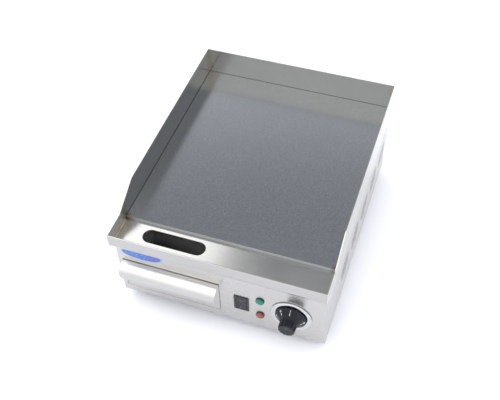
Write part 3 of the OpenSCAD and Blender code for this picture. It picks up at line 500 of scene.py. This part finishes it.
def dial_bezel():
    """Bright ring: rolled rim, groove inside it, then a flat face down to the shaft hole."""
    outer = (bezel_high.x - bezel_low.x) / 2
    back = bezel_high.y
    front = bezel_low.y
    roll = 1.5 * MM
    stations = [(back, 10 * MM), (back, outer - roll)]
    for i in range(9):
        angle = radians(-90 + 180 * i / 8)
        stations.append((back - roll - roll * sin(angle), outer - roll + roll * cos(angle)))
    stations += [
        (front + 0.9 * MM, outer - 2.6 * MM), (front + 1.1 * MM, outer - 3.2 * MM),
        (front + 0.7 * MM, outer - 4.0 * MM), (front + 0.6 * MM, outer - 8.5 * MM),
        (front + 0.9 * MM, outer - 9.2 * MM), (front + 0.9 * MM, 10 * MM),
    ]
    turned("bezel_ring", "casing", "bezel_metal", ["dial_bezel"], (KNOB_X, KNOB_Z), stations, 128, True)


SKIRT_R = (knob_high.x - knob_low.x) / 2
SKIRT_Y = knob_high.y
GRIP_R = 16 * MM
RIM = 2 * MM
CONE = 10 * MM


def control_knob():
    """Skirted knob: serrated rim, cone with the scale, and a grip with twelve scallops."""
    def rim(angle):
        return SKIRT_R - 0.35 * MM * (0.5 + 0.5 * cos(72 * angle))

    def grip(radius, depth):
        return lambda angle: radius - depth * abs(cos(6 * angle)) ** 1.6

    end = knob_low.y
    foot = SKIRT_Y - RIM - CONE
    stations = [
        (SKIRT_Y, SKIRT_R - 1.2 * MM), (SKIRT_Y - 0.3 * MM, rim), (SKIRT_Y - RIM + 0.4 * MM, rim),
        (SKIRT_Y - RIM, SKIRT_R - 0.9 * MM), (SKIRT_Y - RIM - 0.3 * MM, SKIRT_R - 1.8 * MM),
        (foot + 1.2 * MM, GRIP_R + 2.6 * MM), (foot + 0.3 * MM, GRIP_R + 1.2 * MM),
        (foot - 0.4 * MM, grip(GRIP_R + 0.2 * MM, 0.3 * MM)), (foot - 1.4 * MM, grip(GRIP_R, 1.1 * MM)),
        (foot - 3 * MM, grip(GRIP_R, 1.5 * MM)), (end + 2.4 * MM, grip(GRIP_R - 0.5 * MM, 1.5 * MM)),
        (end + 0.7 * MM, grip(GRIP_R - 0.6 * MM, 1.4 * MM)),
        (end + 0.15 * MM, grip(GRIP_R - 0.9 * MM, 1.3 * MM)), (end, grip(GRIP_R - 1.5 * MM, 1.1 * MM)),
        (end + 0.1 * MM, GRIP_R - 4.5 * MM), (end + 0.35 * MM, 2 * MM),
    ]
    turned("knob_shell", "knob", "knob_plastic", ["control_knob"], (KNOB_X, KNOB_Z), stations, 288)


def on_cone(bm, angle_deg, lift):
    """Bends flat marks, drawn with x across and y outwards from the axis, onto the knob's cone."""
    slope = (CONE - 1.5 * MM) / (SKIRT_R - 1.8 * MM - GRIP_R - 2.6 * MM)
    turn = radians(angle_deg)
    for v in bm.verts:
        across, out, height = v.co
        spin = turn + across / out
        rise = (SKIRT_R - 1.8 * MM - out) * slope
        y = SKIRT_Y - RIM - 0.3 * MM - rise - lift - height
        v.co = Vector((KNOB_X + out * sin(spin), y, KNOB_Z + out * cos(spin)))


def bar_mesh(bm, x0, x1, y0, y1, thick):
    """Thin bar, cut across so that it can follow a curve."""
    cuts = 3
    rows = []
    for i in range(cuts + 1):
        y = y0 + (y1 - y0) * i / cuts
        rows.append([bm.verts.new(p) for p in ((x0, y, 0), (x1, y, 0), (x1, y, thick), (x0, y, thick))])
    for a, b in zip(rows, rows[1:]):
        bridge(bm, a, b)
    bm.faces.new(rows[0])
    bm.faces.new(rows[-1])


def merge(whole, part):
    """Adds one bmesh to another, and frees it."""
    mesh = bpy.data.meshes.new("part")
    part.to_mesh(mesh)
    part.free()
    whole.from_mesh(mesh)
    bpy.data.meshes.remove(mesh)


def figure_mesh(bm, text, height, centre_y, thick):
    """A number as a thin mesh, centred on x = 0."""
    curve = bpy.data.curves.new("figure", "FONT")
    curve.body = text
    curve.size = height / 0.72
    curve.align_x = "CENTER"
    curve.align_y = "CENTER"
    curve.extrude = thick / 2
    curve.resolution_u = 3
    text_object = bpy.data.objects.new("figure", curve)
    scene.collection.objects.link(text_object)
    bpy.context.view_layer.update()
    shape = bpy.data.meshes.new_from_object(text_object.evaluated_get(bpy.context.evaluated_depsgraph_get()))
    shape.transform(Matrix.Translation((0, centre_y, 0)))
    bm.from_mesh(shape)
    bpy.data.meshes.remove(shape)
    bpy.data.objects.remove(text_object)
    bpy.data.curves.remove(curve)


def knob_scale():
    """Ticks and plain temperature numbers on the cone, and the pointer line on the grip."""
    whole = bmesh.new()
    for i, text in enumerate(("0", "50", "100", "150", "200", "250", "300")):
        part = bmesh.new()
        bar_mesh(part, -0.4 * MM, 0.4 * MM, 19.5 * MM, 23.0 * MM, 0.12 * MM)
        figure_mesh(part, text, 2.6 * MM, 25.3 * MM, 0.12 * MM)
        on_cone(part, -45 * i, 0.03 * MM)
        merge(whole, part)
    bmesh.ops.remove_doubles(whole, verts=whole.verts, dist=0.000001)
    piece_from(whole, "knob_scale", "knob", "knob_plastic", material=PRINT, crease_deg=30)

    line = bmesh.new()
    end = knob_low.y + 0.3 * MM
    bar_mesh(line, -0.45 * MM, 0.45 * MM, 3 * MM, GRIP_R - 2.7 * MM, 0.2 * MM)
    for v in line.verts:
        v.co = Vector((KNOB_X + v.co.x, end + 0.1 * MM - v.co.z, KNOB_Z + v.co.y))
    piece_from(line, "knob_pointer", "knob", "knob_plastic", material=FADED_PRINT, crease_deg=30)


def bezel_mark():
    """Index mark on the bezel at the top."""
    mark = bmesh.new()
    bar_mesh(mark, -0.7 * MM, 0.7 * MM, SKIRT_R + 0.8 * MM, SKIRT_R + 4.2 * MM, 0.12 * MM)
    for v in mark.verts:
        v.co = Vector((KNOB_X + v.co.x, bezel_low.y + 0.62 * MM - v.co.z, KNOB_Z + v.co.y))
    piece_from(mark, "bezel_mark", "casing", "black_plastic", crease_deg=30)


# Switch, lamps and badge --------------------------------------------------------------

def rocker_shell():
    """The rocker with rounded edges, and a ring and a bar as its off and on signs."""
    soften("switch_rocker", 0.7 * MM, 3, "_shell")
    middle_x = (housing_low.x + housing_high.x) / 2
    middle_z = (housing_low.z + housing_high.z) / 2
    half = (rocker_high.z - rocker_low.z) / 2
    top_y = PANEL_Y - HOUSING_LIP
    signs = bmesh.new()
    sides = 24
    layers = []
    for r in (1.5 * MM, 2.2 * MM):
        for depth in (0, 0.1 * MM):
            layer = []
            for i in range(sides):
                angle = 2 * pi * i / sides
                up = half * 0.55 + r * sin(angle)
                layer.append(signs.verts.new(
                    (middle_x + r * cos(angle), top_y - 0.02 * MM - depth, middle_z + up)))
            layers.append(layer)
    inner_low, inner_high, outer_low, outer_high = layers
    bridge(signs, inner_low, inner_high)
    bridge(signs, outer_low, outer_high)
    bridge(signs, inner_high, outer_high)
    bridge(signs, inner_low, outer_low)

    bar = bmesh.new()
    bar_mesh(bar, -0.4 * MM, 0.4 * MM, half * 0.38, half * 0.70, 0.1 * MM)
    slope = tan(radians(ROCKER_SWING_DEG))
    for v in bar.verts:
        across, down, height = v.co
        v.co = Vector((middle_x + across, top_y - down * slope - 0.05 * MM - height, middle_z - down))
    merge(signs, bar)
    piece_from(signs, "rocker_signs", "rocker", "rocker_plastic", material=FADED_PRINT, crease_deg=30)


def lamp_lens(node):
    """Domed lens with a stepped rim and shallow prisms round its crown."""
    low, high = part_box(node)
    centre = ((low.x + high.x) / 2, (low.z + high.z) / 2)
    radius = (high.x - low.x) / 2
    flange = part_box(node.replace("lens", "body"))[0]
    face = flange.y - 0.05 * MM
    brim = centre[0] - flange.x - 0.3 * MM
    stations = [(high.y, radius - 0.1 * MM), (face, radius - 0.1 * MM), (face - 0.05 * MM, brim)]
    crown = face - 0.6 * MM - low.y
    for i in range(1, 9):
        share = i / 8
        r = (brim - 0.15 * MM) * cos(share * pi / 2) + 0.15 * MM
        y = face - 0.6 * MM - crown * sin(share * pi / 2)
        ribs = 0.16 * MM * sin(share * pi)
        stations.append((y, lambda angle, r=r, ribs=ribs: r - ribs * (0.5 + 0.5 * cos(12 * angle))))
    turned(node + "_cap", "casing", SLOT_OF[node], [node], centre, stations, 96)


def badge():
    """Oval plate with a raised border and a slightly domed middle."""
    middle = (badge_low + badge_high) / 2
    half = (badge_high - badge_low) / 2
    back = badge_high.y
    top = badge_low.y
    bm = bmesh.new()
    rings = []
    for share, y in ((1.0, back), (1.0, top + 0.35 * MM), (0.995, top + 0.1 * MM), (0.985, top + 0.02 * MM),
                     (0.95, top + 0.02 * MM), (0.935, top + 0.25 * MM), (0.9, top + 0.25 * MM),
                     (0.7, top + 0.16 * MM), (0.4, top + 0.08 * MM), (0.1, top + 0.05 * MM)):
        rings.append([
            bm.verts.new((middle.x + half.x * share * sin(2 * pi * i / 96), y,
                          middle.z + half.z * share * cos(2 * pi * i / 96)))
            for i in range(96)
        ])
    for a, b in zip(rings, rings[1:]):
        bridge(bm, a, b)
    bm.faces.new(rings[0])
    bm.faces.new(rings[-1])
    piece_from(bm, "badge_oval", "casing", "badge", ["badge_plate"], crease_deg=38)


# Everything else keeps its CAD shape and takes its finish -------------------------------

def finish_cad_nodes():
    for node, shown in frame["nodes"].items():
        mesh = shown.data
        mesh.materials.clear()
        mesh.materials.append(FINISHES[SLOT_OF[node]])


# Studio -----------------------------------------------------------------------------------

FRONT = (1.25, 1.25, 1.25)
WALLS = (1.0, 1.0, 1.0)
CEILING = (0.37, 0.385, 0.41)


def world_light():
    """White room, with a dark ceiling behind and above the object for its plate to mirror."""
    world = bpy.data.worlds.new("studio")
    scene.world = world
    world.use_nodes = True
    room = Nodes(world.node_tree, "Generated")
    light = room.tree.nodes.new("ShaderNodeBackground")
    output = room.tree.nodes.new("ShaderNodeOutputWorld")
    height = room.axis("Z")
    ceiling = room.ramp(height, [
        (0.0, WALLS), (0.58, WALLS), (0.66, (0.82, 0.84, 0.88)), (0.735, CEILING), (1.0, CEILING),
    ])
    corner = room.math("MULTIPLY", room.spread(room.axis("X"), 0.12, 0.3, 0.0, 1.0),
                       room.spread(height, 0.45, 0.6, 0.0, 1.0))
    back = room.mix(corner, ceiling, CEILING)
    behind = room.spread(room.axis("Y"), -0.25, 0.15, 0.0, 1.0)
    room.feed(light, "Color", room.mix(behind, FRONT, back))
    room.tree.links.new(light.outputs["Background"], output.inputs["Surface"])


def area_light(name, place, aim, size, radiance, mirrored=True, spared=()):
    """Soft light. One that isn't mirrored lights matt surfaces only, and spared pieces aren't lit."""
    lamp = bpy.data.lights.new(name, "AREA")
    lamp.shape = "RECTANGLE"
    lamp.size, lamp.size_y = size
    lamp.energy = radiance * pi * size[0] * size[1]
    holder = bpy.data.objects.new(name, lamp)
    scene.collection.objects.link(holder)
    holder.location = place
    holder.rotation_euler = (Vector(aim) - Vector(place)).to_track_quat("-Z", "Y").to_euler()
    holder.visible_glossy = mirrored
    if spared:
        shaded = bpy.data.collections.new(name + "_shade")
        for piece in spared:
            shaded.objects.link(piece)
        for member in shaded.collection_objects:
            member.light_linking.link_state = "EXCLUDE"
        holder.light_linking.receiver_collection = shaded


def studio():
    world_light()
    plate = bpy.data.objects["griddle_plate_sheet"]
    guard = bpy.data.objects["splash_guard_sheet"]
    area_light("left_softbox", (-1.26, 0.3, 2.0), (-1.26, 0.3, 0.0), (1.4, 2.4), 1.9, spared=[plate])
    area_light("right_softbox", (1.3, 0.1, 2.0), (1.3, 0.1, 0.0), (1.4, 2.1), 0.9, spared=[plate])
    area_light("middle_softbox", (0.0, -0.2, 2.0), (0.0, -0.2, 0.0), (1.2, 1.7), 1.3)
    area_light("front_softbox", (0.2, -2.2, 2.1), (0.0, 0.0, 0.0), (3.0, 2.0), 0.65, spared=[plate, guard])
    area_light("ceiling_fill", (1.5, 0.0, 3.0), (0.0, 0.0, 0.0), (4.5, 4.5), 0.5, mirrored=False)
    bm = bmesh.new()
    half = 9.0
    bm.faces.new([bm.verts.new((x * half, y * half, 0)) for x, y in ((-1, -1), (1, -1), (1, 1), (-1, 1))])
    mesh = bpy.data.meshes.new("studio_floor")
    bm.to_mesh(mesh)
    bm.free()
    floor = bpy.data.objects.new("studio_floor", mesh)
    scene.collection.objects.link(floor)
    paper = Finish("white_paper", Roughness=0.9, Specular_IOR_Level=0.2)
    shades = [(0.3, (0.86, 0.87, 0.92)), (0.7, (0.88, 0.89, 0.94))]
    paper.set("Base Color", paper.ramp(paper.noise(3.0, 2.0), shades))
    mesh.materials.append(paper.material)
    scene.view_settings.view_transform = "Standard"
    scene.view_settings.look = "None"


CAMERA_LENS_MM = 55.54
CAMERA_SENSOR_MM = 36.0
CAMERA_PLACE = (0.3320, -0.9511, 1.2614)
CAMERA_TURN_DEG = (40.945, 1.285, 18.968)


def camera():
    data = bpy.data.cameras.new("camera")
    data.lens = CAMERA_LENS_MM
    data.sensor_width = CAMERA_SENSOR_MM
    data.clip_start = 0.01
    holder = bpy.data.objects.new("camera", data)
    scene.collection.objects.link(holder)
    holder.location = CAMERA_PLACE
    holder.rotation_euler = [radians(a) for a in CAMERA_TURN_DEG]
    scene.camera = holder


camera()
finish_cad_nodes()
finish_sheets()
weld_corners()
dial_bezel()
control_knob()
knob_scale()
bezel_mark()
rocker_shell()
lamp_lens("green_lamp_lens")
lamp_lens("amber_lamp_lens")
badge()
studio()
